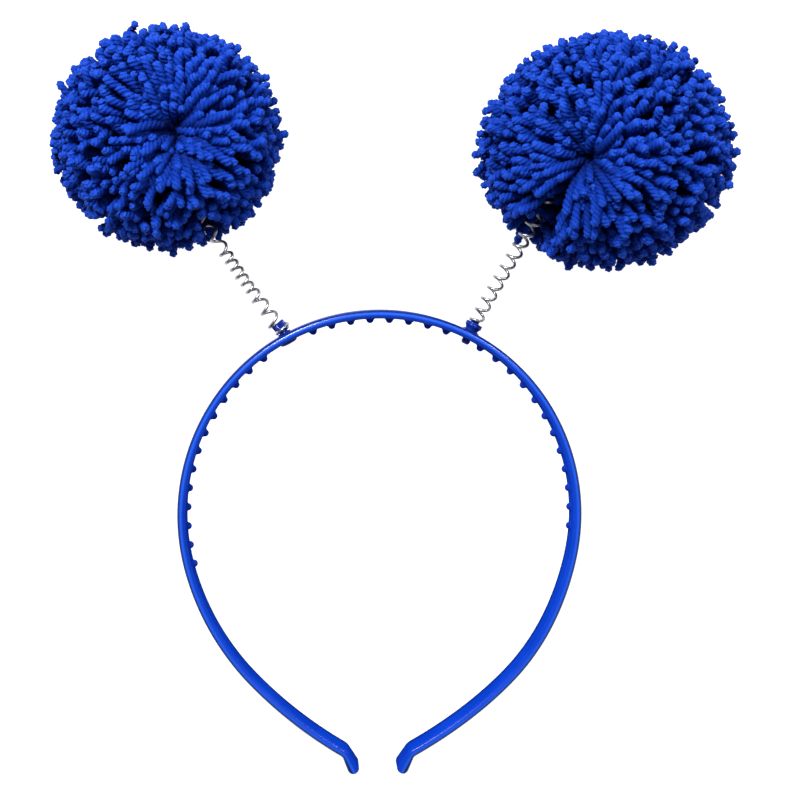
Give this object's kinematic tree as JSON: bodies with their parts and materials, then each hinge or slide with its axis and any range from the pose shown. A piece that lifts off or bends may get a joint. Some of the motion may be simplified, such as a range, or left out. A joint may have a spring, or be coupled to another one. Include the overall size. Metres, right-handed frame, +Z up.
{
  "type": "head bopper",
  "caption": "Open plastic headband with inner grip teeth and two yarn pompoms on bouncy wire springs.",
  "frame": {"origin": "middle of the whole part's box, on the surface it lies on", "axes": "+X across the headband, +Y from the band's tips towards the pompoms, +Z up from the surface"},
  "size_m": [0.2146, 0.237, 0.071],
  "materials": {
    "band_plastic": "glossy moulded royal blue plastic",
    "post_plastic": "darker blue moulded plastic",
    "spring_wire": "bright plated steel wire",
    "yarn": "soft plied royal blue yarn, cut ends"
  },
  "bodies": {
    "root": {"headband": "band_plastic", "post_left": "post_plastic", "post_right": "post_plastic", "spring_left": "spring_wire", "spring_right": "spring_wire", "pompom_left": "yarn", "pompom_right": "yarn"}
  },
  "joints": []
}
